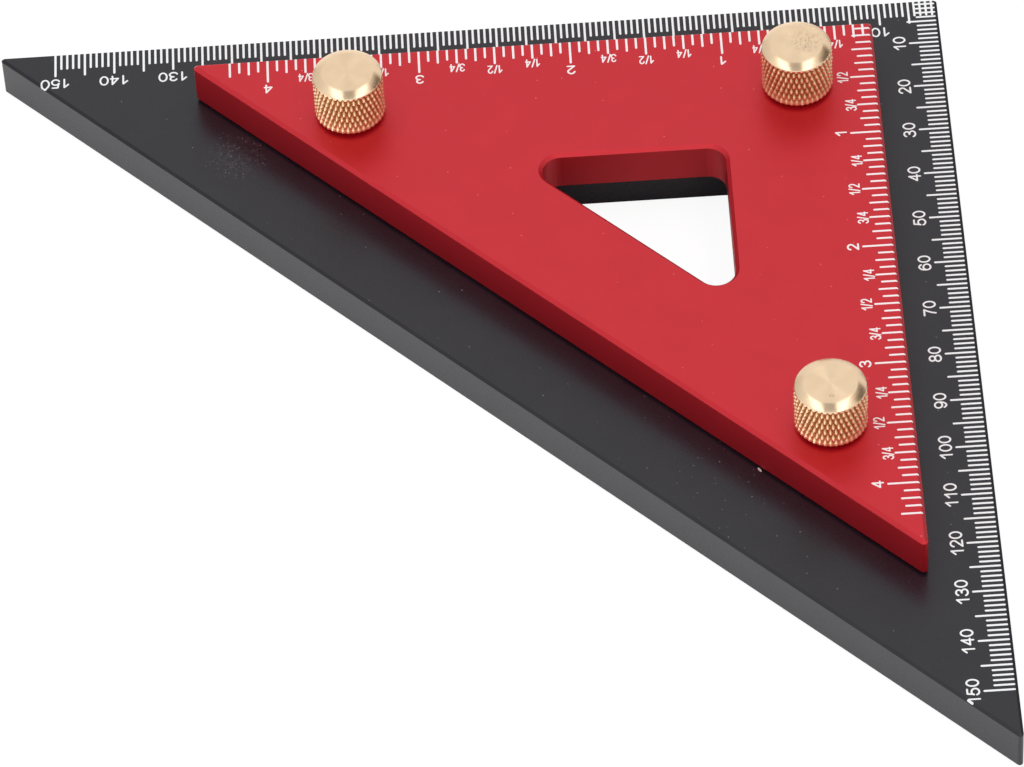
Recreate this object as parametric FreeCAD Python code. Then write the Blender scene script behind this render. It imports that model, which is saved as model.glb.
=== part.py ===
"""Stacked rafter square: a small triangular plate clamped on a larger one by three thumb screws.

Millimetres, +Z up. The origin is the centre of the bounding box's bottom face. Both plates
are 45-90-45 triangles whose right angle points to +X +Y, so one leg runs along X and the
other along Y. Lengths of a plate are counted from the corner where its two legs meet.
"""

import FreeCAD, Part
import math
import os

# the two plates
BASE_LEG = 160.0             # leg of the base plate, corner to sharp tip
UPPER_LEG = 115.0            # leg of the upper plate
PLATE_THICKNESS = 8.0        # both plates are cut from the same bar
STEP_WIDTH = 12.0            # how far the upper plate stands back from the base plate's legs
BASE_CHAMFER = 0.45          # chamfer round the base plate's outline and window
UPPER_CHAMFER = 0.6          # chamfer round the upper plate's outline and window
TIP_ALLOWANCE = 0.1          # a corner's radius is the chamfer plus this

# the finger window of each plate is a smaller triangle of the same shape
BASE_WINDOW_MARGIN = 35.3    # from the base plate's legs to its window
BASE_WINDOW_LEG = 62.0
UPPER_WINDOW_MARGIN = 26.3
UPPER_WINDOW_LEG = 35.0
WINDOW_RADIUS = 3.2          # left by the cutter in every window corner

# the three thumb screws sit on a right angle of their own
SCREW_INSET = 25.4           # first screw, from both legs of the base plate
SCREW_SPACING = 74.6         # from the first screw to each of the others
STUD_RADIUS = 2.5            # M5
TAPPED_HOLE_RADIUS = 2.55    # in the base plate, as a plain bore
TAPPED_HOLE_CHAMFER = 0.3    # at both mouths
CLEARANCE_HOLE_RADIUS = 2.75 # in the upper plate
STUD_END_HEIGHT = 1.0        # lower end of the stud above the base plate's underside
STUD_IN_KNOB = 5.5           # length of stud held in the knob
STUD_CHAMFER = 0.4           # on the lower end only

# the knob, heights counted from the upper plate
KNOB_RADIUS = 6.0
NECK_RADIUS = 4.0
NECK_HEIGHT = 0.7
KNOB_HEIGHT = 9.6
KNOB_FACE_RADIUS = 4.25      # flat turned face on top
KNOB_BEVEL_DROP = 0.7        # fall of the crowned bevel from that face to the knurl
KNOB_BEVEL_CROWN = 0.08      # how far the bevel bulges beyond a straight cone
KNOB_BORE_RADIUS = 2.55      # runs on the stud
KNOB_BORE_DEPTH = 6.0

# diamond knurl: pointed pyramids between two families of crossing grooves
KNURL_TEETH = 40             # pyramids round the knob
KNURL_DEPTH = 0.46
KNURL_DIAMOND_HEIGHT = 2.56  # one whole diamond along the axis
KNURL_MARGIN = 0.2           # knurled column beyond each end of the turned knob
TURNING_MARGIN = 0.05        # turned form outside the tips of the knurl

# a blunt tip falls short of the sharp one by this share of its radius
TIP_SHORTFALL = math.sqrt(2.0)

TINY = 1e-6                  # lengths closer than this are equal

BASE_TIP_RADIUS = BASE_CHAMFER + TIP_ALLOWANCE
UPPER_TIP_RADIUS = UPPER_CHAMFER + TIP_ALLOWANCE

# the right-angle corner of the base plate, seen from the centre of the bounding box
BASE_CORNER = (BASE_LEG - BASE_TIP_RADIUS * TIP_SHORTFALL) / 2.0
UPPER_CORNER = BASE_CORNER - STEP_WIDTH
BASE_TOP = PLATE_THICKNESS
UPPER_TOP = 2.0 * PLATE_THICKNESS


def save(shape, name):
    """Write one node and print what it holds."""
    shape.exportStep("parts/" + name + ".step")
    print(name, "valid", shape.isValid(), "solids", len(shape.Solids),
          "faces", len(shape.Faces), "volume", round(shape.Volume, 1))


def triangle_prism(corner, leg, radius, bottom, height):
    """Right-angled prism with its corner at +X +Y and its upright edges rounded."""
    points = [
        FreeCAD.Vector(corner, corner, bottom),
        FreeCAD.Vector(corner - leg, corner, bottom),
        FreeCAD.Vector(corner, corner - leg, bottom),
    ]
    outline = Part.makePolygon(points + points[:1])
    prism = Part.Face(outline).extrude(FreeCAD.Vector(0, 0, height))
    upright = [edge for edge in prism.Edges if is_upright(edge)]
    return prism.makeFillet(radius, upright)


def is_upright(edge):
    """True for an edge that runs along Z."""
    box = edge.BoundBox
    return box.ZLength > TINY and box.XLength < TINY and box.YLength < TINY


def level_edges(shape, heights):
    """Edges that lie flat at one of the given heights."""
    found = []
    for edge in shape.Edges:
        box = edge.BoundBox
        flat = box.ZLength < TINY
        if flat and any(abs(box.ZMin - height) < TINY for height in heights):
            found.append(edge)
    return found


def screw_places():
    """Name and centre of each thumb screw, the one at the corner first."""
    first = BASE_CORNER - SCREW_INSET
    far = first - SCREW_SPACING
    return [("corner", first, first), ("x_leg", far, first), ("y_leg", first, far)]


def tapped_hole(x, y):
    """Cutter for a hole through the base plate, widened at both mouths."""
    hole = Part.makeCylinder(TAPPED_HOLE_RADIUS, PLATE_THICKNESS, FreeCAD.Vector(x, y, 0))
    for mouth, inward in ((0.0, 1), (BASE_TOP, -1)):
        sink = Part.makeCone(TAPPED_HOLE_RADIUS + TAPPED_HOLE_CHAMFER, TAPPED_HOLE_RADIUS,
                             TAPPED_HOLE_CHAMFER, FreeCAD.Vector(x, y, mouth),
                             FreeCAD.Vector(0, 0, inward))
        hole = hole.fuse(sink)
    return hole


def clearance_hole(x, y):
    """Cutter for a plain hole through the upper plate."""
    return Part.makeCylinder(CLEARANCE_HOLE_RADIUS, PLATE_THICKNESS,
                             FreeCAD.Vector(x, y, BASE_TOP))


def plate(leg, corner, bottom, chamfer, tip_radius, window_margin, window_leg, cutter):
    """Triangular plate with its window, chamfered edges and screw holes."""
    body = triangle_prism(corner, leg, tip_radius, bottom, PLATE_THICKNESS)
    window = triangle_prism(corner - window_margin, window_leg, WINDOW_RADIUS,
                            bottom, PLATE_THICKNESS)
    body = body.cut(window)
    rims = level_edges(body, (bottom, bottom + PLATE_THICKNESS))
    body = body.makeChamfer(chamfer, rims)
    for name, x, y in screw_places():
        body = body.cut(cutter(x, y))
    return body


def base_plate():
    """The larger plate, tapped for the screws."""
    return plate(BASE_LEG, BASE_CORNER, 0.0, BASE_CHAMFER, BASE_TIP_RADIUS,
                 BASE_WINDOW_MARGIN, BASE_WINDOW_LEG, tapped_hole)


def upper_plate():
    """The smaller plate, with clearance holes, lying on the base plate."""
    return plate(UPPER_LEG, UPPER_CORNER, BASE_TOP, UPPER_CHAMFER, UPPER_TIP_RADIUS,
                 UPPER_WINDOW_MARGIN, UPPER_WINDOW_LEG, clearance_hole)


def stud():
    """Threaded stud of a thumb screw, on the Z axis, as a plain rod with a chamfered end."""
    length = UPPER_TOP + STUD_IN_KNOB - STUD_END_HEIGHT
    rod = Part.makeCylinder(STUD_RADIUS, length, FreeCAD.Vector(0, 0, STUD_END_HEIGHT))
    return rod.makeChamfer(STUD_CHAMFER, level_edges(rod, (STUD_END_HEIGHT,)))


def knurl_point(column, row, bottom):
    """Lattice point of the knurl: pyramid tips where column plus row is even, else groove."""
    radius = KNOB_RADIUS if (column + row) % 2 == 0 else KNOB_RADIUS - KNURL_DEPTH
    angle = math.pi * column / KNURL_TEETH
    height = bottom + row * KNURL_DIAMOND_HEIGHT / 2.0
    return FreeCAD.Vector(radius * math.cos(angle), radius * math.sin(angle), height)


def knurled_column(bottom, rows):
    """Solid column whose skin is a lattice of pyramids, closed by a flat face at each end."""
    columns = 2 * KNURL_TEETH
    grid = [[knurl_point(column, row, bottom) for column in range(columns)]
            for row in range(rows + 1)]
    faces = []
    for row in range(rows):
        for column in range(columns):
            after = (column + 1) % columns
            low_left, low_right = grid[row][column], grid[row][after]
            high_left, high_right = grid[row + 1][column], grid[row + 1][after]
            if (column + row) % 2 == 0:
                halves = ((low_left, low_right, high_left), (low_right, high_right, high_left))
            else:
                halves = ((low_left, low_right, high_right), (low_left, high_right, high_left))
            for half in halves:
                faces.append(Part.Face(Part.makePolygon(list(half) + [half[0]])))
    for ring in (grid[0], grid[-1]):
        faces.append(Part.Face(Part.makePolygon(ring + [ring[0]])))
    return Part.makeSolid(Part.makeShell(faces))


def turned_knob():
    """Lathe form of the knob on the Z axis, standing on the upper plate."""
    floor = UPPER_TOP
    top = floor + KNOB_HEIGHT
    skin = KNOB_RADIUS + TURNING_MARGIN
    head = floor + NECK_HEIGHT
    rim_height = top - KNOB_BEVEL_DROP
    profile = [
        (KNOB_BORE_RADIUS, floor),
        (NECK_RADIUS, floor),
        (NECK_RADIUS, head),
        (skin, head),
        (skin, rim_height),
    ]
    close = [
        (0.0, top),
        (0.0, floor + KNOB_BORE_DEPTH),
        (KNOB_BORE_RADIUS, floor + KNOB_BORE_DEPTH),
        (KNOB_BORE_RADIUS, floor),
    ]
    outer = [FreeCAD.Vector(r, 0, z) for r, z in profile]
    inner = [FreeCAD.Vector(r, 0, z) for r, z in close]
    face_edge = FreeCAD.Vector(KNOB_FACE_RADIUS, 0, top)
    chord = face_edge - outer[-1]
    across = FreeCAD.Vector(-chord.z, 0, chord.x).normalize()
    if across.z < 0:
        across = across * -1
    crown = (outer[-1] + face_edge) * 0.5 + across * KNOB_BEVEL_CROWN
    edges = [Part.makeLine(a, b) for a, b in zip(outer, outer[1:])]
    edges.append(Part.Arc(outer[-1], crown, face_edge).toShape())
    edges.append(Part.makeLine(face_edge, inner[0]))
    edges += [Part.makeLine(a, b) for a, b in zip(inner, inner[1:])]
    face = Part.Face(Part.Wire(edges))
    return face.revolve(FreeCAD.Vector(0, 0, 0), FreeCAD.Vector(0, 0, 1), 360)


def knob():
    """Turned knob with the knurl rolled into its side and trimmed by the bevel."""
    length = KNOB_HEIGHT + 2.0 * KNURL_MARGIN
    rows = math.ceil(length / (KNURL_DIAMOND_HEIGHT / 2.0))
    column = knurled_column(UPPER_TOP - KNURL_MARGIN, rows)
    return turned_knob().common(column)


def main():
    os.makedirs("parts", exist_ok=True)
    save(base_plate(), "base_plate")
    save(upper_plate(), "upper_plate")
    one_knob = knob()
    one_stud = stud()
    for name, x, y in screw_places():
        place = FreeCAD.Vector(x, y, 0)
        save(one_knob.translated(place), name + "_knob")
        save(one_stud.translated(place), name + "_stud")


main()
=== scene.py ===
"""Looks of the stacked rafter square: two anodised plates with their scales, clamped by three
knurled brass thumb screws, on a white table in soft light. Lengths are in millimetres until
a mesh is made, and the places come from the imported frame."""

import math
import random

import bpy
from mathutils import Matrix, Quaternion, Vector
from mathutils.geometry import delaunay_2d_cdt


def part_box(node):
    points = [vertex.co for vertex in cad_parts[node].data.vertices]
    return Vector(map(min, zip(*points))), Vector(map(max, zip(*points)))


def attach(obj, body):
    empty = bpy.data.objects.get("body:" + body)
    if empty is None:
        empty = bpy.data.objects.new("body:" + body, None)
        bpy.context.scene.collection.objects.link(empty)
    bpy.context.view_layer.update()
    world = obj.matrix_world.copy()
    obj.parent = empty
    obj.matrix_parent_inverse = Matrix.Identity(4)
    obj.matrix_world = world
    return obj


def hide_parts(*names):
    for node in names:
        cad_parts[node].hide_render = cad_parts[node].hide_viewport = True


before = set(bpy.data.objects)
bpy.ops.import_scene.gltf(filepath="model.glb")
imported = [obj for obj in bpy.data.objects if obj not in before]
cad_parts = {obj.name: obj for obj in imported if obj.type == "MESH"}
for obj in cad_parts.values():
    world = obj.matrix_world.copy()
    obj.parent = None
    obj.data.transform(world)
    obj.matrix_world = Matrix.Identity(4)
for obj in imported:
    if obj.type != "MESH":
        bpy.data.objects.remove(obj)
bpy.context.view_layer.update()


# ---- Camera ----
# The square was photographed from the side of its long edges, from 49 degrees above the table
# and about 1.1 m away, with a long lens and the camera tilted slightly to one side.
MM = 0.001
CAMERA_PLACE = Vector((7.779, -730.548, 844.083))
CAMERA_AIM = Vector((3.764, -1.056, 8.0))
CAMERA_TILT = 3.820                # degrees, clockwise as seen in the picture
CAMERA_LENS = 240.47
SENSOR_WIDTH = 36.0
NEAREST, FARTHEST = 0.01, 20.0     # that the camera sees, in metres

camera_data = bpy.data.cameras.new("camera")
camera_data.lens = CAMERA_LENS
camera_data.sensor_width = SENSOR_WIDTH
camera_data.sensor_fit = "HORIZONTAL"
camera_data.clip_start = NEAREST
camera_data.clip_end = FARTHEST
camera = bpy.data.objects.new("camera", camera_data)
aim = (CAMERA_AIM - CAMERA_PLACE).to_track_quat("-Z", "Y")
camera.rotation_mode = "QUATERNION"
camera.rotation_quaternion = aim @ Quaternion((0, 0, 1), math.radians(-CAMERA_TILT))
camera.location = CAMERA_PLACE * MM
bpy.context.scene.collection.objects.link(camera)
bpy.context.scene.camera = camera
bpy.context.scene.view_settings.view_transform = "Standard"


# ---- Base plate ----
# The larger triangle, milled from 8 mm aluminium plate, finely blasted, chamfered with a sharp
# cutter and anodised black. The CAD plate stays as it is and gets its finish here. A little dust
# lies on it beside the step, and one chip of metal at the foot of the upper plate.
BLACK_TONE = (0.0076, 0.0064, 0.0118, 1.0)
BLACK_TONE_WORN = (0.0100, 0.0086, 0.0142, 1.0)
BLACK_CLOUDS = 6.0                 # size of the places where the black is worn
BLACK_ROUGHNESS = (0.26, 0.34)     # of the blasted faces
CHAMFER_ROUGHNESS = 0.14           # of the chamfers, which the cutter leaves smoother
CHAMFER_LEAN = 0.707               # how squarely a chamfer faces up
LEVEL = 0.95                       # and how squarely a top does, at least
BLAST_PATCH = 0.35                 # size of the places that are blasted more or less
BLAST_GRAIN, BLAST_DEPTH = 0.18, 0.003
BLACK_IOR = 1.47
DUST_COLOUR = (0.34, 0.30, 0.31, 1.0)
DUSTY_PATCH, PATCH_REACH = (-39.9, 53.3, 8.0), (1.5, 6.5)
THIN_PATCH, THIN_PATCH_REACH = (36.8, -26.5, 8.0), (6.0, 14.0)
FINE_DUST = 0.62, 0.10             # a speck's room and its radius, in the patches
COARSE_DUST = 4.0, 0.13, 0.3       # the same all over, and the share of rooms that is taken
CHIP_ENDS = ((42.28, -22.20, 8.0), (42.77, -23.04, 8.0))
CHIP_GIRTH = 1.0                   # its rim is this far from its two ends together
CHIP_COLOUR = (0.80, 0.62, 0.58, 1.0)


def new_finish(name):
    """Empty finish with its surface shader: the material, its node tree and the shader."""
    material = bpy.data.materials.new(name)
    material.use_nodes = True
    tree = material.node_tree
    return material, tree, tree.nodes["Principled BSDF"]


def place_in(tree):
    """Position on the piece in millimetres."""
    coordinates = tree.nodes.new("ShaderNodeTexCoord")
    mapping = tree.nodes.new("ShaderNodeMapping")
    mapping.inputs["Scale"].default_value = (1.0 / MM,) * 3
    tree.links.new(coordinates.outputs["Object"], mapping.inputs["Vector"])
    return mapping.outputs["Vector"]


def mottle(tree, where, size, detail=2.0):
    """Soft random pattern whose patches are about size millimetres across."""
    noise = tree.nodes.new("ShaderNodeTexNoise")
    noise.inputs["Scale"].default_value = 1.0 / size
    noise.inputs["Detail"].default_value = detail
    tree.links.new(where, noise.inputs["Vector"])
    return noise.outputs["Fac"]


def remap(tree, value, from_low, from_high, to_low, to_high):
    """Stretch a pattern from one range to another, held at both ends."""
    node = tree.nodes.new("ShaderNodeMapRange")
    node.inputs["From Min"].default_value = from_low
    node.inputs["From Max"].default_value = from_high
    node.inputs["To Min"].default_value = to_low
    node.inputs["To Max"].default_value = to_high
    tree.links.new(value, node.inputs["Value"])
    return node.outputs["Result"]


def feed(tree, value, socket):
    """Give a socket a plain value, or what another node makes."""
    if isinstance(value, bpy.types.NodeSocket):
        tree.links.new(value, socket)
    else:
        socket.default_value = value


def blend_colours(tree, share, first, second):
    """Colour that goes from the first to the second as the share goes from 0 to 1."""
    mix = tree.nodes.new("ShaderNodeMix")
    mix.data_type = "RGBA"
    tree.links.new(share, mix.inputs["Factor"])
    feed(tree, first, mix.inputs["A"])
    feed(tree, second, mix.inputs["B"])
    return mix.outputs["Result"]


def relief(tree, shader, height, depth):
    """Press a height pattern, depth millimetres deep, into the surface."""
    bump = tree.nodes.new("ShaderNodeBump")
    bump.inputs["Strength"].default_value = 1.0
    bump.inputs["Distance"].default_value = depth * MM
    tree.links.new(height, bump.inputs["Height"])
    tree.links.new(bump.outputs["Normal"], shader.inputs["Normal"])


def arithmetic(tree, operation, first, second):
    """Result of one sum on two sockets or plain numbers."""
    node = tree.nodes.new("ShaderNodeMath")
    node.operation = operation
    feed(tree, first, node.inputs[0])
    feed(tree, second, node.inputs[1])
    return node.outputs["Value"]


def product(tree, first, second):
    """The two multiplied."""
    return arithmetic(tree, "MULTIPLY", first, second)


def distance_from(tree, where, spot):
    """Distance in millimetres from one spot."""
    node = tree.nodes.new("ShaderNodeVectorMath")
    node.operation = "DISTANCE"
    node.inputs[1].default_value = spot
    tree.links.new(where, node.inputs[0])
    return node.outputs["Value"]


def facing_up(tree):
    """How squarely the surface faces up: 1 on a level top, 0.7 on a chamfer, 0 on a side."""
    geometry = tree.nodes.new("ShaderNodeNewGeometry")
    split = tree.nodes.new("ShaderNodeSeparateXYZ")
    tree.links.new(geometry.outputs["Normal"], split.inputs["Vector"])
    return split.outputs["Z"]


def specks(tree, where, spacing, size, share):
    """Specks lying on a level top, more or less bright, in the given share of the cells."""
    cells = tree.nodes.new("ShaderNodeTexVoronoi")
    cells.voronoi_dimensions = "2D"
    cells.inputs["Scale"].default_value = 1.0 / spacing
    tree.links.new(where, cells.inputs["Vector"])
    spot = remap(tree, cells.outputs["Distance"], size / spacing, 0.5 * size / spacing, 0.0, 1.0)
    split = tree.nodes.new("ShaderNodeSeparateColor")
    tree.links.new(cells.outputs["Color"], split.inputs["Color"])
    chosen = arithmetic(tree, "LESS_THAN", split.outputs["Red"], share)
    level = arithmetic(tree, "GREATER_THAN", facing_up(tree), LEVEL)
    strength = remap(tree, split.outputs["Green"], 0.3, 1.0, 0.08, 0.7)
    return product(tree, product(tree, spot, chosen), product(tree, level, strength))


black_anodised, tree, shader = new_finish("black_anodised")
where = place_in(tree)
clouds = remap(tree, mottle(tree, where, BLACK_CLOUDS), 0.35, 0.65, 0.0, 1.0)
tone = blend_colours(tree, clouds, BLACK_TONE, BLACK_TONE_WORN)
patch = remap(tree, distance_from(tree, where, DUSTY_PATCH), *PATCH_REACH, 0.8, 0.0)
smears = remap(tree, mottle(tree, where, 0.8, 4.0), 0.45, 0.70, 0.0, 0.10)
thin_patch = remap(tree, distance_from(tree, where, THIN_PATCH), *THIN_PATCH_REACH, 0.07, 0.0)
clusters = remap(tree, mottle(tree, where, 1.6), 0.40, 0.60, 0.3, 1.4)
crowded = arithmetic(tree, "ADD", product(tree, patch, clusters), thin_patch)
for dust in (product(tree, patch, smears), specks(tree, where, *FINE_DUST, crowded),
             specks(tree, where, *COARSE_DUST)):
    tone = blend_colours(tree, dust, tone, DUST_COLOUR)
to_ends = [distance_from(tree, where, end) for end in CHIP_ENDS]
chip = remap(tree, arithmetic(tree, "ADD", *to_ends), CHIP_GIRTH, CHIP_GIRTH + 0.08, 1.0, 0.0)
tree.links.new(blend_colours(tree, chip, tone, CHIP_COLOUR), shader.inputs["Base Color"])
blasted = remap(tree, mottle(tree, where, BLAST_PATCH), 0.3, 0.7, *BLACK_ROUGHNESS)
off_chamfer = arithmetic(tree, "ABSOLUTE", arithmetic(
    tree, "SUBTRACT", facing_up(tree), CHAMFER_LEAN), 0.0)
milled = remap(tree, off_chamfer, 0.05, 0.15, CHAMFER_ROUGHNESS, 0.4)
tree.links.new(arithmetic(tree, "MINIMUM", blasted, milled), shader.inputs["Roughness"])
relief(tree, shader, mottle(tree, where, BLAST_GRAIN, 3.0), BLAST_DEPTH)
shader.inputs["IOR"].default_value = BLACK_IOR

base_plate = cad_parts["base_plate"]
base_plate.data.materials.clear()
base_plate.data.materials.append(black_anodised)


# ---- Millimetre scale ----
# Lines and numbers burnt white into the black anodising by a laser, along both legs of the base
# plate, from the corner to 150. The numbers are read from outside the square.
BASE_CHAMFER = 0.45
BASE_LONG_EDGE = -0.778            # x + y all along the plate's long edge
LINE_WIDTH = 0.37
LAST_MILLIMETRE = 150
MILLIMETRE_LINE, FIVE_LINE = 3.85, 5.5    # how far in they end
Y_LEG_SHIFT = 0.1                  # the marks on the leg along Y are this much further out
LINE_PROUD = 0.012                 # marks stand this far off the metal, so that they show
LINE_DEEP = 0.04                   # and reach this far into it
END_STEPS = 6                      # sides of a line's rounded end
MITRE_LIMIT = 0.3                  # a bend's corner reaches half the width over this, at most
CLOSE_CUTS = 1e-5                  # cuts nearer than this to a point go through it
CLOSE_POINTS = 0.001               # points nearer than this are one
NUMBER_BASE = 6.0                  # from the plate's edge to the foot of a number
NUMBER_STROKE = 0.30
NUMBER_HEIGHT = 2.17
NUMBER_WIDTH = 1.58
NUMBER_PITCH = 1.75                # from one figure to the next
MARK_WHITE = (0.97, 0.985, 0.99, 1.0)
MARK_WHITE_THIN = (0.92, 0.93, 0.94, 1.0)
MARK_ROUGHNESS, MARK_SHINE = 0.7, 0.2
MARK_GRAIN, MARK_DEPTH = 0.12, 0.004


def mark_white(name, white, thin_white):
    """Finish of a laser mark: matt white, a little thinner in places."""
    material, tree, shader = new_finish(name)
    where = place_in(tree)
    thin = remap(tree, mottle(tree, where, 0.5, 3.0), 0.55, 0.75, 0.0, 1.0)
    tree.links.new(blend_colours(tree, thin, white, thin_white), shader.inputs["Base Color"])
    shader.inputs["Roughness"].default_value = MARK_ROUGHNESS
    shader.inputs["Specular IOR Level"].default_value = MARK_SHINE
    relief(tree, shader, mottle(tree, where, MARK_GRAIN), MARK_DEPTH)
    return material


def ribbon(path, width, closed=False, round_ends=(True, True)):
    """Polygons that cover a line of even width along a path of 2-D points."""
    half = width / 2.0
    count = len(path)
    left, right = [], []
    for index, point in enumerate(path):
        before = path[index - 1] if index or closed else None
        after = path[(index + 1) % count] if index + 1 < count or closed else None
        ways = []
        if before is not None:
            ways.append((point - before).normalized())
        if after is not None:
            ways.append((after - point).normalized())
        way = sum(ways, Vector((0.0, 0.0))).normalized()
        across = Vector((-way.y, way.x)) * (half / max(MITRE_LIMIT, way.dot(ways[0])))
        left.append(point + across)
        right.append(point - across)
    polygons = []
    for index in range(count if closed else count - 1):
        after = (index + 1) % count
        polygons.append([right[index], right[after], left[after], left[index]])
    for end, wanted in ((0, round_ends[0]), (-1, round_ends[1])):
        if wanted and not closed:
            start = left[0] if end == 0 else right[-1]
            spoke = start - path[end]
            cap = [path[end] + turned(spoke, 180.0 * step / END_STEPS)
                   for step in range(END_STEPS + 1)]
            polygons.append(cap)
    return polygons


def turned(arrow, degrees):
    """A 2-D arrow turned to the left."""
    angle = math.radians(degrees)
    return Vector((arrow.x * math.cos(angle) - arrow.y * math.sin(angle),
                   arrow.x * math.sin(angle) + arrow.y * math.cos(angle)))


def arc(centre, radii, start, end, steps):
    """Points of an elliptical arc, angles in degrees from the right, turning left."""
    points = []
    for step in range(steps + 1):
        angle = math.radians(start + (end - start) * step / steps)
        points.append(Vector((centre[0] + radii[0] * math.cos(angle),
                              centre[1] + radii[1] * math.sin(angle))))
    return points


def line(*points):
    """Straight pieces through the given points."""
    return [Vector(point) for point in points]


def figure_strokes(figure):
    """Strokes of one figure, as (path, closed), in a cell 1 wide and 1 high."""
    if figure == "0":
        return [(arc((0.5, 0.5), (0.5, 0.5), 0, 345, 23), True)]
    if figure == "1":
        return [(line((0.70, 0.0), (0.70, 1.0)), False), (line((0.70, 1.0), (0.16, 0.66)), False)]
    if figure == "2":
        bowl = arc((0.5, 0.70), (0.46, 0.30), 172, -28, 12)
        return [(bowl + line((0.04, 0.0)), False), (line((0.04, 0.0), (1.0, 0.0)), False)]
    if figure == "3":
        return [(arc((0.48, 0.76), (0.42, 0.24), 165, -90, 12), False),
                (arc((0.48, 0.265), (0.50, 0.265), 95, -165, 14), False)]
    if figure == "4":
        return [(line((0.76, 0.0), (0.76, 1.0)), False), (line((0.76, 1.0), (0.0, 0.30)), False),
                (line((0.0, 0.30), (1.0, 0.30)), False)]
    if figure == "5":
        return [(line((0.90, 1.0), (0.20, 1.0)), False), (line((0.20, 1.0), (0.08, 0.46)), False),
                (arc((0.48, 0.325), (0.50, 0.325), 155, -160, 16), False)]
    if figure == "6":
        return [(arc((0.5, 0.32), (0.48, 0.32), 0, 340, 17), True),
                (arc((0.52, 0.46), (0.50, 0.54), 190, 40, 10), False)]
    if figure == "7":
        return [(line((0.0, 1.0), (1.0, 1.0)), False),
                (line((1.0, 1.0), (0.72, 0.70), (0.50, 0.35), (0.38, 0.0)), False)]
    if figure == "8":
        return [(arc((0.5, 0.76), (0.41, 0.24), 0, 340, 17), True),
                (arc((0.5, 0.26), (0.50, 0.26), 0, 340, 17), True)]
    if figure == "9":
        return [([Vector((1.0 - point.x, 1.0 - point.y)) for point in path], closed)
                for path, closed in figure_strokes("6")]
    return [(line((0.0, -0.04), (1.0, 1.04)), False)]    # the slash of a fraction


def figure_polygons(figure, middle, foot, height, width, stroke):
    """Polygons of one figure, centred on x = middle with its foot at y = foot."""
    polygons = []
    for path, closed in figure_strokes(figure):
        path = [Vector((middle + (point.x - 0.5) * (width - stroke),
                        foot + stroke / 2.0 + point.y * (height - stroke))) for point in path]
        polygons += ribbon(path, stroke, closed)
    return polygons


def number(text, foot, height, width):
    """Polygons of a number, centred on x = 0 with its foot at y = foot."""
    polygons = []
    for place, figure in enumerate(text):
        middle = (place - (len(text) - 1) / 2.0) * NUMBER_PITCH
        polygons += figure_polygons(figure, middle, foot, height, width, NUMBER_STROKE)
    return polygons


def on_x_leg(edge, distance, polygons):
    """Lay polygons beside the leg along X; their y is counted inward from the leg's edge."""
    return [[Vector((edge - distance - point.x, edge - point.y)) for point in polygon]
            for polygon in polygons]


def on_y_leg(edge, distance, polygons):
    """Lay polygons beside the leg along Y, in the same way."""
    return [[Vector((edge - point.y, edge - distance + point.x)) for point in polygon]
            for polygon in polygons]


def new_piece(name, points, faces, finishes):
    """New object in the scene, with its points in metres."""
    mesh = bpy.data.meshes.new(name)
    mesh.from_pydata(points, [], faces)
    for finish in finishes:
        mesh.materials.append(finish)
    piece = bpy.data.objects.new(name, mesh)
    bpy.context.scene.collection.objects.link(piece)
    return piece


def marks(name, polygons, edge, long_edge, top, chamfer, finish):
    """One closed skin of paint-thin marks, bent down over a plate's chamfers and cut at its edges.
    The edge is where both legs end, and along the long edge x + y is long_edge."""
    def insets(point):
        slant = (point.x + point.y - long_edge) / math.sqrt(2.0)
        return edge - point.x, edge - point.y, slant

    def surface(point):
        return top - sum(max(0.0, chamfer - inset) for inset in insets(point))

    points, faces, folds = [], [], []
    far = 2.0 * edge
    for inset in (chamfer, LINE_PROUD):
        slant = long_edge + inset * math.sqrt(2.0)
        for start, end in (((edge - inset, -far), (edge - inset, far)),
                           ((-far, edge - inset), (far, edge - inset)),
                           ((slant - far, far), (far, slant - far))):
            folds.append((len(points), len(points) + 1))
            points += [Vector(start), Vector(end)]
    for polygon in polygons:
        faces.append(tuple(range(len(points), len(points) + len(polygon))))
        points += polygon
    flat, _, triangles, _, _, owners = delaunay_2d_cdt(points, folds, faces, 0, CLOSE_CUTS)
    spots = {}
    same = [spots.setdefault((round(point.x / CLOSE_POINTS), round(point.y / CLOSE_POINTS)), index)
            for index, point in enumerate(flat)]
    kept = []
    for triangle, owner in zip(triangles, owners):
        triangle = tuple(same[index] for index in triangle)
        middle = sum((flat[index] for index in triangle), Vector((0.0, 0.0))) / len(triangle)
        if owner and len(set(triangle)) == 3 and min(insets(middle)) > LINE_PROUD:
            kept.append(triangle)
    used = sorted({index for triangle in kept for index in triangle})
    order = {index: place for place, index in enumerate(used)}
    both_skins = [(flat[i].x * MM, flat[i].y * MM, (surface(flat[i]) + rise) * MM)
                  for rise in (LINE_PROUD, -LINE_DEEP) for i in used]
    skin = [tuple(order[index] for index in triangle) for triangle in kept]
    edges = dict.fromkeys(side for face in skin for side in zip(face, face[1:] + face[:1]))
    count = len(used)
    walls = [(end, start, start + count, end + count)
             for start, end in edges if (end, start) not in edges]
    soles = [tuple(index + count for index in reversed(face)) for face in skin]
    return new_piece(name, both_skins, skin + soles + walls, [finish])


_, base_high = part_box("base_plate")
base_edge = base_high.x / MM
base_top = base_high.z / MM

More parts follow.
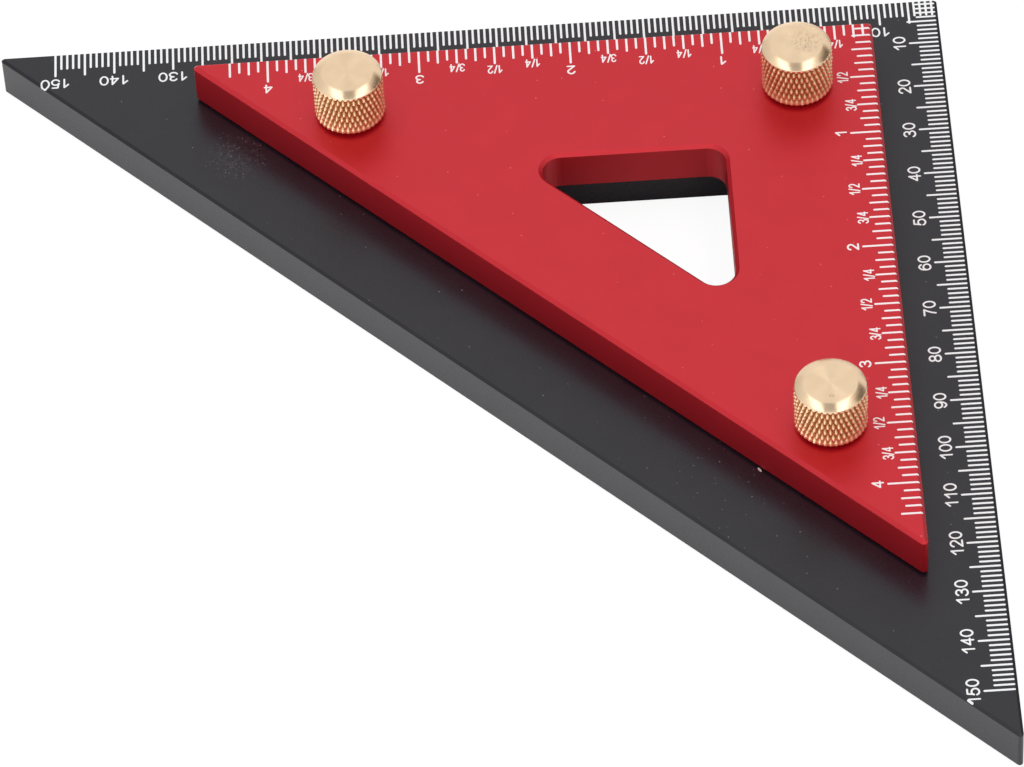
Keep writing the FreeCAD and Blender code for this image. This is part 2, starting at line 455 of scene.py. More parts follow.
millimetre_lines, millimetre_numbers = [], []
for millimetre in range(1, LAST_MILLIMETRE + 1):
    reach = (MILLIMETRE_LINE if millimetre % 5 else FIVE_LINE) - LINE_WIDTH / 2.0
    long_line = ribbon(line((0.0, 0.0), (0.0, reach)), LINE_WIDTH, round_ends=(False, True))
    short_line = ribbon(line((0.0, BASE_CHAMFER + LINE_WIDTH / 2.0), (0.0, reach)), LINE_WIDTH)
    millimetre_lines += on_x_leg(base_edge, millimetre, long_line)
    millimetre_lines += on_y_leg(base_edge, millimetre + Y_LEG_SHIFT, short_line)
    if millimetre % 10 == 0:
        figures = number(str(millimetre), NUMBER_BASE, NUMBER_HEIGHT, NUMBER_WIDTH)
        millimetre_numbers += on_x_leg(base_edge, millimetre, figures)
        millimetre_numbers += on_y_leg(base_edge, millimetre + Y_LEG_SHIFT, figures)

white_on_black = mark_white("white_on_black", MARK_WHITE, MARK_WHITE_THIN)
for name, polygons in (("millimetre_lines", millimetre_lines),
                       ("millimetre_numbers", millimetre_numbers)):
    piece = marks(name, polygons, base_edge, BASE_LONG_EDGE, base_top, BASE_CHAMFER,
                  white_on_black)
    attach(piece, "base")


# ---- Upper plate ----
# The smaller triangle, of the same 8 mm aluminium, blasted and anodised red. It is the CAD plate
# with a clear, slightly glossy dyed finish that shows the metal below, and a few specks of dust.
RED_TONE = (0.562, 0.0040, 0.0150, 1.0)
RED_TONE_DEEP = (0.538, 0.0036, 0.0135, 1.0)
RED_DUST_COLOUR = (0.86, 0.24, 0.24, 1.0)
RED_DUST = 5.0, 0.16, 0.4          # a speck's room, its radius, and the share of rooms taken
RED_CLOUDS = 7.0
RED_ROUGHNESS = (0.36, 0.44)
METAL_SEEN = 0.58                  # share of the metal that shows through the dye
RED_IOR = 1.5
SEALED, SEALED_ROUGHNESS = 0.36, 0.35    # the clear skin over the dye

red_anodised, tree, shader = new_finish("red_anodised")
where = place_in(tree)
clouds = remap(tree, mottle(tree, where, RED_CLOUDS), 0.35, 0.65, 0.0, 1.0)
tone = blend_colours(tree, clouds, RED_TONE, RED_TONE_DEEP)
dust = specks(tree, where, *RED_DUST)
tree.links.new(blend_colours(tree, dust, tone, RED_DUST_COLOUR), shader.inputs["Base Color"])
tree.links.new(remap(tree, mottle(tree, where, BLAST_PATCH), 0.3, 0.7, *RED_ROUGHNESS),
               shader.inputs["Roughness"])
relief(tree, shader, mottle(tree, where, BLAST_GRAIN, 3.0), BLAST_DEPTH)
shader.inputs["Metallic"].default_value = METAL_SEEN
shader.inputs["IOR"].default_value = RED_IOR
shader.inputs["Coat Weight"].default_value = SEALED
shader.inputs["Coat Roughness"].default_value = SEALED_ROUGHNESS

upper_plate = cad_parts["upper_plate"]
upper_plate.data.materials.clear()
upper_plate.data.materials.append(red_anodised)


# ---- Inch scale ----
# The same laser marks on the red plate, in sixteenths of an inch to 4 1/4 on both legs. Whole
# inches are numbered, and the quarters between them are marked with fractions.
UPPER_CHAMFER = 0.6
UPPER_LONG_EDGE = 20.222           # x + y all along the plate's long edge
SIXTEENTH = 25.4 / 16.0
LAST_SIXTEENTH = 68
LINE_START = 0.55                  # on the leg along Y, where the lines stop on the chamfer
LENGTHS_BY_SIXTEENTH = {16: 5.5, 8: 4.55, 4: 3.85, 2: 3.6, 1: 3.05}
INCH_BASE, INCH_HEIGHT, INCH_WIDTH = 6.0, 2.0, 1.5
FRACTIONS = {4: ("1/4", 3.95), 8: ("1/2", 4.85), 12: ("3/4", 3.95)}    # each with its foot
FRACTION_HEIGHT, FRACTION_STROKE = 1.85, 0.24
FRACTION_FIGURE, FRACTION_SLASH = 0.98, 0.72    # their widths
FRACTION_MIDDLES = (-0.85, -0.10, 0.80)
FIRST_FRACTION_ON_Y_LEG = 8        # the first quarter inch has no number there
PINK_WHITE = (0.99, 0.90, 0.91, 1.0)
PINK_WHITE_THIN = (0.95, 0.79, 0.81, 1.0)


def inch_line(sixteenth):
    """Inner end of a line, by the largest part of an inch that it marks."""
    for part, length in LENGTHS_BY_SIXTEENTH.items():
        if sixteenth % part == 0:
            return length


def fraction(text, foot):
    """Polygons of 1/4, 1/2 or 3/4: two narrow figures close beside a slash."""
    polygons = []
    for figure, middle in zip(text, FRACTION_MIDDLES):
        width = FRACTION_SLASH if figure == "/" else FRACTION_FIGURE
        polygons += figure_polygons(figure, middle, foot, FRACTION_HEIGHT, width,
                                    FRACTION_STROKE)
    return polygons


_, upper_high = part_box("upper_plate")
upper_edge = upper_high.x / MM
upper_top = upper_high.z / MM

inch_lines, inch_numbers = [], []
for sixteenth in range(1, LAST_SIXTEENTH + 1):
    distance = sixteenth * SIXTEENTH
    reach = inch_line(sixteenth) - LINE_WIDTH / 2.0
    long_mark = ribbon(line((0.0, 0.0), (0.0, reach)), LINE_WIDTH, round_ends=(False, True))
    mark = ribbon(line((0.0, LINE_START), (0.0, reach)), LINE_WIDTH)
    inch_lines += on_x_leg(upper_edge, distance, long_mark)
    inch_lines += on_y_leg(upper_edge, distance, mark)
    if sixteenth % 16 == 0:
        figures = number(str(sixteenth // 16), INCH_BASE, INCH_HEIGHT, INCH_WIDTH)
    elif sixteenth % 4 == 0 and sixteenth < LAST_SIXTEENTH:
        figures = fraction(*FRACTIONS[sixteenth % 16])
    else:
        continue
    inch_numbers += on_x_leg(upper_edge, distance, figures)
    if sixteenth >= FIRST_FRACTION_ON_Y_LEG:
        inch_numbers += on_y_leg(upper_edge, distance, figures)

white_on_red = mark_white("white_on_red", PINK_WHITE, PINK_WHITE_THIN)
for name, polygons in (("inch_lines", inch_lines), ("inch_numbers", inch_numbers)):
    piece = marks(name, polygons, upper_edge, UPPER_LONG_EDGE, upper_top, UPPER_CHAMFER,
                  white_on_red)
    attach(piece, "upper")


# ---- Thumb screw knobs ----
# Brass heads turned from bar, with a crowned bevel round a flat top and a diamond knurl rolled
# into the side. Each replaces its CAD knob with the same form and with diamonds that have a
# short level crest, as worn ones have.
KNURL_DIAMONDS = 40
KNURL_DEPTH = 0.55
DIAMOND_HEIGHT = 2.56
LATTICE = 8                        # steps across a diamond each way
KNOB_COLUMNS = KNURL_DIAMONDS * LATTICE
KNURL_START = 15.8                 # height of the lowest row of tips
KNURL_FLANK = 1.4                  # steepness of the sides of a diamond
KNURL_SLOPE = 1.25                 # fall from its level crest to its upper end
KNURL_DROP = 2.0                   # and to its lower end, which is steeper
KNURL_UNEVEN = 0.18                # tips differ in height by up to this share
KNURL_RUN_OUT, LEFT_AT_RIM = 0.7, 0.4     # the grooves get shallower over this height to the
FOOT_RUN_OUT, LEFT_AT_FOOT = 2.0, 0.5     # rim and to the foot, where this share of them is left
SHARP_CREST = 0.8                  # a crest has a sharp edge where it stands out this far
FACE_RADIUS = 4.25
BEVEL_DROP = 0.70                  # from the face to the rim
BEVEL_CROWN = 0.06                 # how far the bevel bulges beyond a straight cone
RIM_BACK = 0.24                    # the rim stands this far inside the knurl's tips
RIM_RADIUS = 0.20
BEVEL_STEPS, RIM_STEPS = 18, 8     # points over the bevel and round the rim
KNURL_RISE = 0.55                  # length over which the tips rise from the rim
TURNED_DROP = 0.1                  # the turned finish starts this far below the rim
FLAT_RINGS = (FACE_RADIUS - 0.15, FACE_RADIUS - 0.5, 2.6, 1.3)
NECK_RADIUS = 4.0
NECK_HEIGHT = 0.7
FOOT_INSET, FOOT_FLARE, FOOT_CHAMFER = 0.45, 0.5, 0.22
FOOT_STEPS = 4
RING_GAP = 0.02                    # the lattice keeps this far from the chamfer and the bevel
CENTRE_RING = 0.3                  # inside it a flat is closed by a fan of triangles
KNOB_BORE_RADIUS = 2.55
KNOB_BORE_DEPTH = 6.0
FROM_AXIS = "from_axis"            # kept with each point of a knob, in mm
FROM_GROOVE = "from_groove"        # and 0 in the bottom of the knurl, 1 on its tips
BRASS = (0.81, 0.61, 0.41, 1.0)
BRASS_DARK = (0.79, 0.58, 0.38, 1.0)
BRASS_SCUFFED = (0.42, 0.28, 0.17, 1.0)
BRASS_RUBBED = (0.97, 0.64, 0.39, 1.0)
# grime in the grooves of the knurl, with painted shade there as well
GROOVE_GRIME_AND_SHADE = (0.46, 0.205, 0.068, 1.0)
TURNED_ROUGHNESS = (0.21, 0.25)
TURNED_ALONG = 0.86                # how far the turning marks stretch the shine,
QUARTER_TURN = 0.25                # across themselves
LATHE_PITCH, LATHE_DEPTH = 0.09, 0.02     # of the turning marks, the depth as a share
SKIN_GRAIN, SKIN_DEPTH = 0.15, 0.002
SCUFF_DEPTH = 0.03
SCUFFED_SPOT, SCUFF_REACH = (55.6, 54.6, 25.6), 3.4    # on the knob at the corner
RING_MARK, RING_MARK_RADIUS = (54.2, -23.1, 25.6), 0.30    # on the knob of the leg along Y
GROOVE_ROUGHNESS, RUBBED_ROUGHNESS = 0.40, 0.25
KNURL_METAL = 0.74                 # less than 1, for the grime and the painted shade in the grooves


def scuff_lines(tree, where, spot, reach):
    """Thin wandering scratches round one spot: 1 on a scratch, 0 off it."""
    wander = arithmetic(tree, "SUBTRACT", mottle(tree, where, 0.6, 3.0), 0.5)
    lines = remap(tree, arithmetic(tree, "ABSOLUTE", wander, 0.0), 0.006, 0.028, 0.95, 0.0)
    near = remap(tree, distance_from(tree, where, spot), 0.5 * reach, reach, 1.0, 0.0)
    broken = remap(tree, mottle(tree, where, 0.6), 0.40, 0.55, 0.0, 1.0)
    return product(tree, product(tree, lines, near), broken)


def turned_brass_finish():
    """Bare brass off the lathe: fine rings round the middle, and a few scratches on one knob."""
    material, tree, shader = new_finish("turned_brass")
    where = place_in(tree)
    clouds = remap(tree, mottle(tree, where, 2.5, 3.0), 0.4, 0.7, 0.0, 1.0)
    scuffs = scuff_lines(tree, where, SCUFFED_SPOT, SCUFF_REACH)
    ring = arithmetic(tree, "ABSOLUTE", arithmetic(
        tree, "SUBTRACT", distance_from(tree, where, RING_MARK), RING_MARK_RADIUS), 0.0)
    marked = arithmetic(tree, "MAXIMUM", scuffs, remap(tree, ring, 0.04, 0.10, 0.7, 0.0))
    tone = blend_colours(tree, clouds, BRASS, BRASS_DARK)
    tree.links.new(blend_colours(tree, marked, tone, BRASS_SCUFFED), shader.inputs["Base Color"])
    tree.links.new(remap(tree, mottle(tree, where, 0.4), 0.3, 0.7, *TURNED_ROUGHNESS),
                   shader.inputs["Roughness"])
    shader.inputs["Metallic"].default_value = 1.0
    tangent = tree.nodes.new("ShaderNodeTangent")
    tangent.direction_type = "RADIAL"
    tangent.axis = "Z"
    tree.links.new(tangent.outputs["Tangent"], shader.inputs["Tangent"])
    shader.inputs["Anisotropic"].default_value = TURNED_ALONG
    shader.inputs["Anisotropic Rotation"].default_value = QUARTER_TURN
    from_axis = tree.nodes.new("ShaderNodeAttribute")
    from_axis.attribute_name = FROM_AXIS
    rings = arithmetic(tree, "PINGPONG", from_axis.outputs["Fac"], LATHE_PITCH / 2.0)
    height = arithmetic(tree, "SUBTRACT", product(tree, rings, LATHE_DEPTH),
                        product(tree, marked, SCUFF_DEPTH))
    grain = product(tree, mottle(tree, where, SKIN_GRAIN), SKIN_DEPTH)
    relief(tree, shader, arithmetic(tree, "ADD", height, grain), 1.0)
    return material


def knurled_brass_finish():
    """Bare brass with brown grime and painted shade in the grooves of the knurl, and the tips
    rubbed bright.
    """
    material, tree, shader = new_finish("knurled_brass")
    where = place_in(tree)
    rubbed = tree.nodes.new("ShaderNodeAttribute")
    rubbed.attribute_name = FROM_GROOVE
    patches = product(tree, mottle(tree, where, 0.5), 0.3)
    clean_and_lit = remap(tree, arithmetic(tree, "ADD", rubbed.outputs["Fac"], patches),
                  0.25, 0.80, 0.0, 1.0)
    # darker and browner towards the bottom of the grooves: grime, and painted shade where they are
    # deep
    tree.links.new(blend_colours(tree, clean_and_lit, GROOVE_GRIME_AND_SHADE, BRASS_RUBBED),
                   shader.inputs["Base Color"])
    tree.links.new(remap(tree, clean_and_lit, 0.0, 1.0, GROOVE_ROUGHNESS, RUBBED_ROUGHNESS),
                   shader.inputs["Roughness"])
    shader.inputs["Metallic"].default_value = KNURL_METAL
    relief(tree, shader, mottle(tree, where, SKIN_GRAIN), SKIN_DEPTH)
    return material


def ramp(share):
    """Distance from the nearest groove: 0 in the groove, 1 at the tips."""
    return 1.0 - 2.0 * abs(share - round(share))


def knurl_shape(column, height, foot, rim, unevenness):
    """How far the knurled side stands out at a lattice column and a height, 0 in a groove and 1 at
    a tip. The grooves run out shallow at the rim, and a little at the foot."""
    rise = (height - KNURL_START) / DIAMOND_HEIGHT
    right, left = column / LATTICE + rise, column / LATTICE - rise
    above_crest = (right - round(right)) - (left - round(left))
    shape = max(0.0, min(1.0, KNURL_FLANK * min(ramp(right), ramp(left)),
                         1.0 - KNURL_SLOPE * above_crest, 1.0 + KNURL_DROP * above_crest))
    tip = (round(right) % KNURL_DIAMONDS, round(left) % KNURL_DIAMONDS)
    shape *= 1.0 - KNURL_UNEVEN * unevenness[tip[0]][tip[1]]
    below_rim = min(1.0, max(0.0, (rim - height) / KNURL_RUN_OUT))
    above_foot = min(1.0, max(0.0, (height - foot) / FOOT_RUN_OUT))
    at_rim = LEFT_AT_RIM + (1.0 - LEFT_AT_RIM) * below_rim
    at_foot = LEFT_AT_FOOT + (1.0 - LEFT_AT_FOOT) * above_foot
    return 1.0 - (1.0 - shape) * at_rim * at_foot


def bevel_profile(skin, top):
    """Radius and height up from the knurl, round the rim and over the crowned bevel to the top."""
    rim, inner = Vector((skin - RIM_BACK, top - BEVEL_DROP)), Vector((FACE_RADIUS, top))
    chord = inner - rim
    out = Vector((-chord.y, chord.x)).normalized()
    if out.y < 0:
        out = -out
    slope = math.atan2(chord.y, -chord.x) + math.atan(4.0 * BEVEL_CROWN / chord.length)
    rim_start = RIM_RADIUS * (1.0 - math.sin(slope)) / -chord.x
    points = []
    for step in range(BEVEL_STEPS + 1):
        share = rim_start + (1.0 - rim_start) * step / BEVEL_STEPS
        points.append(rim + chord * share + out * 4.0 * BEVEL_CROWN * share * (1.0 - share))
    centre = points[0] - Vector((math.sin(slope), math.cos(slope))) * RIM_RADIUS
    rounding = []
    for step in range(RIM_STEPS):
        angle = math.pi / 2.0 + (slope - math.pi / 2.0) * step / RIM_STEPS
        rounding.append(centre + Vector((math.sin(angle), math.cos(angle))) * RIM_RADIUS)
    rise = []
    for step in range(RIM_STEPS):
        share = step / RIM_STEPS
        swell = RIM_BACK * (1.0 - share) ** 2 * (1.0 + 2.0 * share)
        rise.append(Vector((rounding[0].x + swell, rounding[0].y - KNURL_RISE * (1.0 - share))))
    return rise + rounding + points


def knob_rings(skin, bottom, top):
    """Rings of the knob from the bore, under the head, up the side and to the middle of the top.
    Each is (radius, height, kind, sharp)."""
    head = bottom + NECK_HEIGHT
    rings = [(CENTRE_RING, bottom + KNOB_BORE_DEPTH, "plain", False),
             (KNOB_BORE_RADIUS, bottom + KNOB_BORE_DEPTH, "plain", True),
             (KNOB_BORE_RADIUS, bottom, "plain", True),
             (NECK_RADIUS, bottom, "plain", True),
             (NECK_RADIUS, head, "plain", True),
             (skin - FOOT_INSET, head, "plain", True)]
    for step in range(1, FOOT_STEPS + 1):
        rings.append((skin - FOOT_INSET + FOOT_FLARE * step / FOOT_STEPS,
                      head + FOOT_CHAMFER * step / FOOT_STEPS, "cut", False))
    row_height = DIAMOND_HEIGHT / LATTICE
    row = math.ceil((head + FOOT_CHAMFER + RING_GAP - KNURL_START) / row_height)
    bevel = bevel_profile(skin, top)
    while KNURL_START + row * row_height < bevel[0].y - RING_GAP:
        rings.append((skin, KNURL_START + row * row_height, "cut", False))
        row += 1
    rings += [(point.x, point.y, "cut", False) for point in bevel[:-1]]
    return rings + [(radius, top, "plain", False) for radius in (*FLAT_RINGS, CENTRE_RING)]


def knob_points(rings, centre, skin, bottom, top, seed):
    """Points of a knob, ring by ring and then the middles of its two flats, with how far each is
    from the axis and how far out of the grooves."""
    chance = random.Random(seed)
    unevenness = [[chance.random() for _ in range(KNURL_DIAMONDS)] for _ in range(KNURL_DIAMONDS)]
    points, from_axis, from_groove = [], [], []
    for radius, height, kind, _ in rings:
        for column in range(KNOB_COLUMNS):
            r, shape = radius, 1.0
            if kind == "cut":
                shape = knurl_shape(column, height, bottom + NECK_HEIGHT, top - BEVEL_DROP,
                                    unevenness)
                r = min(r, skin - KNURL_DEPTH * (1.0 - shape))
            from_axis.append(r)
            from_groove.append(shape)
            angle = 2.0 * math.pi * column / KNOB_COLUMNS
            points.append(((centre.x + r * math.cos(angle)) * MM,
                           (centre.y + r * math.sin(angle)) * MM, height * MM))
    for height in (rings[0][1], top):
        points.append((centre.x * MM, centre.y * MM, height * MM))
    return points, from_axis + [0.0, 0.0], from_groove + [1.0, 1.0]


def knob_faces(rings, top):
    """Faces of a knob, each with 0 for the finish of its side or 1 for that of its top."""
    top_start = top - BEVEL_DROP - TURNED_DROP
    faces, finishes = [], []
    for ring in range(len(rings) - 1):
        low, high = ring * KNOB_COLUMNS, (ring + 1) * KNOB_COLUMNS
        middle = (rings[ring][1] + rings[ring + 1][1]) / 2.0
        rise = (middle - KNURL_START) / DIAMOND_HEIGHT
        for column in range(KNOB_COLUMNS):
            after = (column + 1) % KNOB_COLUMNS
            a, b, c, d = low + column, low + after, high + after, high + column
            share = (column + 0.5) / LATTICE
            if rings[ring][2] == "plain":
                new = [(a, b, c, d)]
            elif ramp(share + rise) < ramp(share - rise):
                new = [(a, b, d), (b, c, d)]
            else:
                new = [(a, b, c), (a, c, d)]
            faces += new
            finishes += [int(middle > top_start)] * len(new)
    after_rings = len(rings) * KNOB_COLUMNS
    last = after_rings - KNOB_COLUMNS
    around = [(column, (column + 1) % KNOB_COLUMNS) for column in range(KNOB_COLUMNS)]
    faces += [(after, column, after_rings) for column, after in around]
    faces += [(last + column, last + after, after_rings + 1) for column, after in around]
    return faces, finishes + [0] * KNOB_COLUMNS + [1] * KNOB_COLUMNS


def knob_mesh(name, centre, skin, bottom, top, seed, side_finish, top_finish):
    """Closed mesh of one knob, sharp at its turned corners and along the crests of its knurl."""
    rings = knob_rings(skin, bottom, top)
    points, from_axis, from_groove = knob_points(rings, centre, skin, bottom, top, seed)
    faces, finishes = knob_faces(rings, top)
    piece = new_piece(name, points, faces, [side_finish, top_finish])
    mesh = piece.data
    mesh.polygons.foreach_set("material_index", finishes)
    mesh.polygons.foreach_set("use_smooth", [True] * len(faces))
    for attribute, values in ((FROM_AXIS, from_axis), (FROM_GROOVE, from_groove)):
        mesh.attributes.new(attribute, "FLOAT", "POINT").data.foreach_set("value", values)
    for edge in mesh.edges:
        start, end = (index // KNOB_COLUMNS for index in edge.vertices)
        if start != end:
            continue
        _, height, kind, sharp = rings[start]
        crest = kind == "cut" and all(from_groove[index] > SHARP_CREST for index in edge.vertices)
        below_rim = height < top - BEVEL_DROP - KNURL_RISE
        edge.use_edge_sharp = sharp or crest and below_rim
    mesh.update()
    return piece


def round_part(node):
    """Centre, radius, bottom and top of a round CAD node, in millimetres."""
    low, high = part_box(node)
    return (low + high) / 2.0 / MM, (high.x - low.x) / 2.0 / MM, low.z / MM, high.z / MM


knurled_brass = knurled_brass_finish()
turned_brass = turned_brass_finish()
SCREWS = ("corner", "x_leg", "y_leg")
for seed, screw in enumerate(SCREWS):
    piece = knob_mesh(screw + "_knurled_knob", *round_part(screw + "_knob"), seed,
                      knurled_brass, turned_brass)
    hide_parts(screw + "_knob")
    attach(piece, screw + "_knob")


# ---- Threaded studs ----
# M5 steel studs, zinc plated, one screwed fast into each knob. Only the thread between the
# plates and the knob shows, when a screw is undone. Each replaces its plain CAD rod.
THREAD_PITCH = 0.8
THREAD_DEPTH = 0.45
THREAD_COLUMNS = 36
THREAD_ROWS = 8                    # rows of points to one turn of the thread
THREAD_FLANK, THREAD_ROOT = 1.25, 0.05    # steepness of its sides, and how flat its bottom is
STUD_CHAMFER = 0.4
ZINC = (0.62, 0.63, 0.66, 1.0)
ZINC_DULL = (0.45, 0.46, 0.50, 1.0)
ZINC_CLOUDS = 0.9
ZINC_ROUGHNESS = (0.24, 0.38)
ZINC_GRAIN, ZINC_DEPTH = 0.2, 0.004


def stud_mesh(name, centre, skin, bottom, top, finish):
    """Closed mesh of a threaded stud with a chamfered lower end."""
    rows = math.ceil((top - bottom) / THREAD_PITCH * THREAD_ROWS)
    points, faces = [], []
    for row in range(rows + 1):
        height = bottom + (top - bottom) * row / rows
        for column in range(THREAD_COLUMNS):
            share = column / THREAD_COLUMNS
            wave = ramp(height / THREAD_PITCH - share)
            crest = min(1.0, max(0.0, THREAD_FLANK * wave - THREAD_ROOT))
            radius = skin - THREAD_DEPTH * (1.0 - crest)
            radius = min(radius, skin - STUD_CHAMFER + (height - bottom))
            angle = 2.0 * math.pi * share
            points.append(((centre.x + radius * math.cos(angle)) * MM,
                           (centre.y + radius * math.sin(angle)) * MM, height * MM))
    for row in range(rows):
        for column in range(THREAD_COLUMNS):
            after = (column + 1) % THREAD_COLUMNS
            low, high = row * THREAD_COLUMNS, (row + 1) * THREAD_COLUMNS
            faces.append((low + column, low + after, high + after, high + column))
    faces.append(tuple(reversed(range(THREAD_COLUMNS))))
    faces.append(tuple(range(rows * THREAD_COLUMNS, (rows + 1) * THREAD_COLUMNS)))
    piece = new_piece(name, points, faces, [finish])
    piece.data.polygons.foreach_set("use_smooth", [True] * (len(faces) - 2) + [False] * 2)
    piece.data.update()
    return piece


zinc_plated, tree, shader = new_finish("zinc_plated_steel")
where = place_in(tree)
clouds = remap(tree, mottle(tree, where, ZINC_CLOUDS, 3.0), 0.35, 0.65, 0.0, 1.0)
tree.links.new(blend_colours(tree, clouds, ZINC, ZINC_DULL), shader.inputs["Base Color"])
tree.links.new(remap(tree, clouds, 0.0, 1.0, *ZINC_ROUGHNESS), shader.inputs["Roughness"])
shader.inputs["Metallic"].default_value = 1.0
relief(tree, shader, mottle(tree, where, ZINC_GRAIN), ZINC_DEPTH)

for screw in SCREWS:
    piece = stud_mesh(screw + "_threaded_stud", *round_part(screw + "_stud"), zinc_plated)
    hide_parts(screw + "_stud")
    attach(piece, screw + "_stud")


# ---- Table ----
# A wide matt white sheet below the square, which shows as plain white. In the metal it has a
# painted glow round the square, brighter further in front and none under it or in its window, and
# painted shade far off on the right.
TABLE_SIZE = 4000.0
TABLE_DROP = 0.02                  # the table lies this far below the plate
TABLE_WHITE = (0.80, 0.80, 0.80, 1.0)
# dark sheet that the metal sees far off on the right, in place of the white table: painted shade
TABLE_SHADE = (0.05, 0.05, 0.06, 1.0)
SHADE_START, SHADE_FULL = 10.0, 90.0    # from the leg along Y
TABLE_GLEAM, FRONT_GLEAM = 0.6, 1.1    # close round the square, and further in front of it
GLEAM_START, GLEAM_FULL = 8.0, 40.0    # from the long edge
MIRRORED_WHITE = 0.75
SEEN_WHITE, SEEN_GLOW = 0.16, 0.91     # enough of the first to show the square's shadow


def mix_shaders(tree, share, first, second):
    """Shader that goes from the first to the second."""
    mix = tree.nodes.new("ShaderNodeMixShader")
    tree.links.new(share, mix.inputs["Fac"])
    tree.links.new(first, mix.inputs[1])
    tree.links.new(second, mix.inputs[2])
    return mix.outputs["Shader"]


def matt(tree, colour):
    """Matt surface of one colour."""
    shader = tree.nodes.new("ShaderNodeBsdfDiffuse")
    shader.inputs["Color"].default_value = colour
    return shader.outputs["BSDF"]


def glowing_white(tree, white, glow):
    """White surface that is partly lit and partly glows by itself."""
    light = tree.nodes.new("ShaderNodeEmission")
    feed(tree, glow, light.inputs["Strength"])
    both = tree.nodes.new("ShaderNodeAddShader")
    tree.links.new(matt(tree, (white, white, white, 1.0)), both.inputs[0])
    tree.links.new(light.outputs["Emission"], both.inputs[1])
    return both.outputs["Shader"]


def split_place(tree, output):
    """The x, y and z of a place or a direction."""
    coordinates = tree.nodes.new("ShaderNodeTexCoord")
    split = tree.nodes.new("ShaderNodeSeparateXYZ")
    tree.links.new(coordinates.outputs[output], split.inputs["Vector"])
    return split.outputs["X"], split.outputs["Y"], split.outputs["Z"]


def end_tree(tree, kind, plain, mirrored, seen):
    """Give light off matt things, metal that mirrors and the camera each their shader."""
    path = tree.nodes.new("ShaderNodeLightPath")
    reflected = mix_shaders(tree, path.outputs["Is Glossy Ray"], plain, mirrored)
    straight = arithmetic(tree, "MAXIMUM", path.outputs["Is Camera Ray"],
                          path.outputs["Is Transmission Ray"])
    end = tree.nodes.new(kind)
    tree.links.new(mix_shaders(tree, straight, reflected, seen), end.inputs["Surface"])


table_white = bpy.data.materials.new("table_white")
table_white.use_nodes = True
tree = table_white.node_tree
tree.nodes.clear()
x, y, _ = split_place(tree, "Object")
slant = arithmetic(tree, "SUBTRACT", BASE_LONG_EDGE * MM, arithmetic(tree, "ADD", x, y))
slant = product(tree, slant, 1.0 / math.sqrt(2.0))
off_right = arithmetic(tree, "SUBTRACT", x, base_edge * MM)
behind = arithmetic(tree, "SUBTRACT", y, base_edge * MM)
beside = arithmetic(tree, "MAXIMUM", arithmetic(tree, "MAXIMUM", off_right, behind), slant)
# painted glow, seen only in the metal: none under the square or in its window, brighter further in
# front
gleam = remap(tree, slant, GLEAM_START * MM, GLEAM_FULL * MM, TABLE_GLEAM, FRONT_GLEAM)
gleam = product(tree, arithmetic(tree, "GREATER_THAN", beside, 0.0), gleam)
# painted shade, seen only in the metal: far off on the right the table turns to a dark sheet
in_shade = remap(tree, off_right, SHADE_START * MM, SHADE_FULL * MM, 0.0, 1.0)
mirrored = mix_shaders(tree, in_shade, glowing_white(tree, MIRRORED_WHITE, gleam),
                       matt(tree, TABLE_SHADE))
end_tree(tree, "ShaderNodeOutputMaterial", matt(tree, TABLE_WHITE), mirrored,
         glowing_white(tree, SEEN_WHITE, SEEN_GLOW))

half = TABLE_SIZE / 2.0 * MM
corners = [(-half, -half, 0), (half, -half, 0), (half, half, 0), (-half, half, 0)]
table = new_piece("table", corners, [(0, 1, 2, 3)], [table_white])
table.location.z = -TABLE_DROP * MM


# ---- Tent ----
# White cloth all round and above, which lights the square evenly. The metal also mirrors its
# darker parts and its bright front wall. Straight up, between the soft boxes, it is dimmer.
TENT_FILL = 0.91                   # its light on matt things
TENT_WALLS = 1.07                  # its brightness in the metal
TENT_DARKEST = 0.03                # the least share of that, in any part
TENT_LOWEST = 0.05                 # slopes stay the same below this height
DOOR_BROWN = (1.0, 0.66, 0.36, 1.0)    # the room seen through the opening
# each part's brightness, and its limits across and along with their softness, as slopes
TENT_GAP = 0.42, (-0.29, 0.29, 0.02), (-0.45, 0.25, 0.10)    # between the soft boxes
TENT_SEAM = 0.90, (-0.07, 0.07, 0.03), (0.45, 2.0, 0.10)     # behind the square
TENT_LEFT = 0.78, (-99.0, -0.675, 0.325), (0.3, 3.0, 0.15)   # back of the left wall
TENT_DOOR = 0.06, (0.70, 1.9, 0.12), (0.0, 1.1, 0.10)        # opening, behind on the right
TENT_CORNERS = 0.06, (0.50, 1.1, 0.06), (0.25, 1.1, 0.06)    # back corners near the table
CORNERS_FADE = (0.14, 0.22)        # and between which heights they end
TENT_FLAP = 0.66, (-2.7, -1.3, 0.12), (-0.45, 0.05, 0.12)    # low on the left
TENT_FRONT = 1.45, (-0.45, 0.45, 0.15), (-1.9, -0.85, 0.15)  # wall behind the camera


def within(tree, value, low, high, soft):
    """1 where a value lies between two limits, 0 outside, with a soft step at each."""
    above = remap(tree, value, low - soft, low + soft, 0.0, 1.0)
    below = remap(tree, value, high - soft, high + soft, 1.0, 0.0)
    return product(tree, above, below)


def in_part(tree, across, along, part):
    """1 in a part of the tent, 0 outside."""
    return product(tree, within(tree, across, *part[1]), within(tree, along, *part[2]))


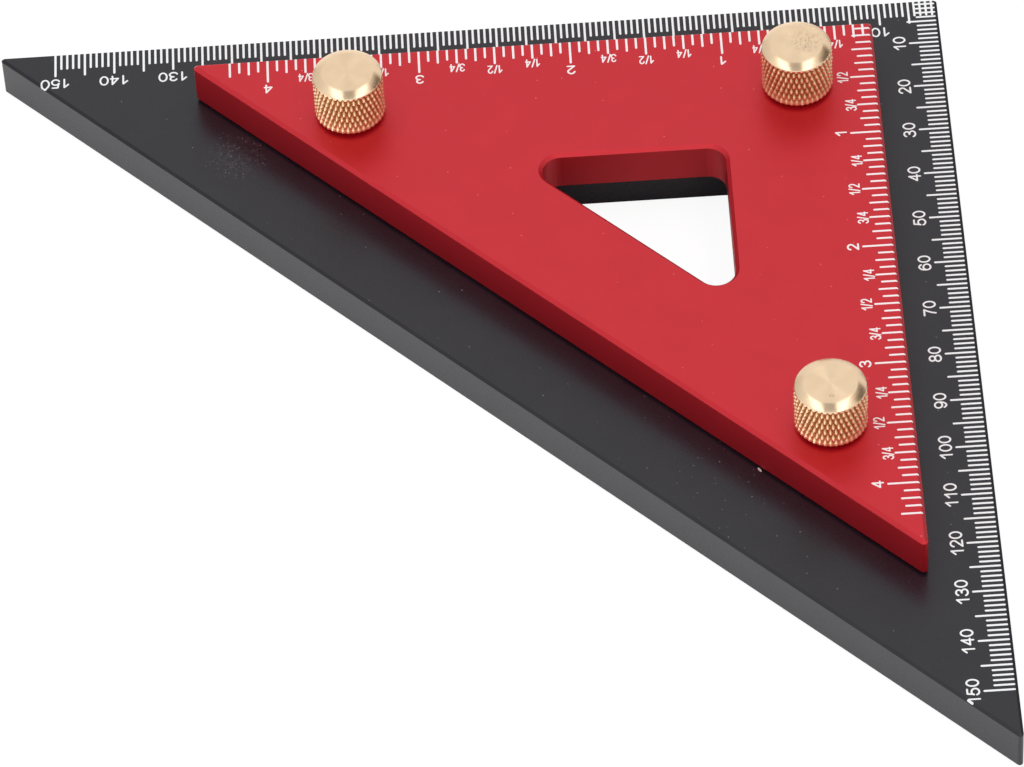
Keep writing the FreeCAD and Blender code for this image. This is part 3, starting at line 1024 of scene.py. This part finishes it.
tent = bpy.data.worlds.new("tent")
bpy.context.scene.world = tent
tent.use_nodes = True
tree = tent.node_tree
tree.nodes.clear()
x, y, z = split_place(tree, "Generated")
height = arithmetic(tree, "MAXIMUM", z, TENT_LOWEST)
across = arithmetic(tree, "DIVIDE", x, height)
along = arithmetic(tree, "DIVIDE", y, height)
sideways = arithmetic(tree, "ABSOLUTE", x, 0.0)
parts = {}
for part in (TENT_GAP, TENT_SEAM, TENT_LEFT, TENT_DOOR, TENT_CORNERS, TENT_FLAP, TENT_FRONT):
    place = (sideways, y) if part is TENT_CORNERS else (across, along)
    parts[part] = in_part(tree, *place, part)
parts[TENT_CORNERS] = product(tree, parts[TENT_CORNERS],
                              remap(tree, z, *CORNERS_FADE, 1.0, 0.0))
dimmed = 0.0
for part, share in parts.items():
    dimmed = arithmetic(tree, "ADD", dimmed, product(tree, share, 1.0 - part[0]))
left_over = arithmetic(tree, "MAXIMUM", TENT_DARKEST, arithmetic(tree, "SUBTRACT", 1.0, dimmed))
fill, mirrored, white = (tree.nodes.new("ShaderNodeBackground") for _ in range(3))
fill.inputs["Strength"].default_value = TENT_FILL
tree.links.new(blend_colours(tree, parts[TENT_DOOR], (1.0, 1.0, 1.0, 1.0), DOOR_BROWN),
               mirrored.inputs["Color"])
tree.links.new(product(tree, TENT_WALLS, left_over), mirrored.inputs["Strength"])
white.inputs["Strength"].default_value = 1.0
end_tree(tree, "ShaderNodeOutputWorld", fill.outputs["Background"],
         mirrored.outputs["Background"], white.outputs["Background"])


# ---- Soft boxes ----
# Two long lamps behind cloth, above the square on its left and right, with their front ends
# slightly apart. The crowned bevels of the knobs mirror each of them as a bright band.
BOX_RADIANCE = 1.65
BOX_HEIGHT = 1250.0
BOX_INNER, BOX_OUTER = 230.0, 620.0    # from the middle to the near and far side of a box
BOX_FRONT, BOX_BACK = -1060.0, 680.0
BOX_SPLAY = 5.0                    # degrees that their front ends stand apart

for side, name in ((-1, "soft_box_left"), (1, "soft_box_right")):
    data = bpy.data.lights.new(name, "AREA")
    data.shape = "ELLIPSE"
    data.size = (BOX_OUTER - BOX_INNER) * MM
    data.size_y = (BOX_BACK - BOX_FRONT) * MM
    data.energy = BOX_RADIANCE * math.pi * (math.pi / 4.0) * data.size * data.size_y
    box = bpy.data.objects.new(name, data)
    box.location = Vector((side * (BOX_INNER + BOX_OUTER) / 2.0, (BOX_BACK + BOX_FRONT) / 2.0,
                           BOX_HEIGHT)) * MM
    box.rotation_euler.z = math.radians(side * BOX_SPLAY)
    box.visible_camera = False
    bpy.context.scene.collection.objects.link(box)
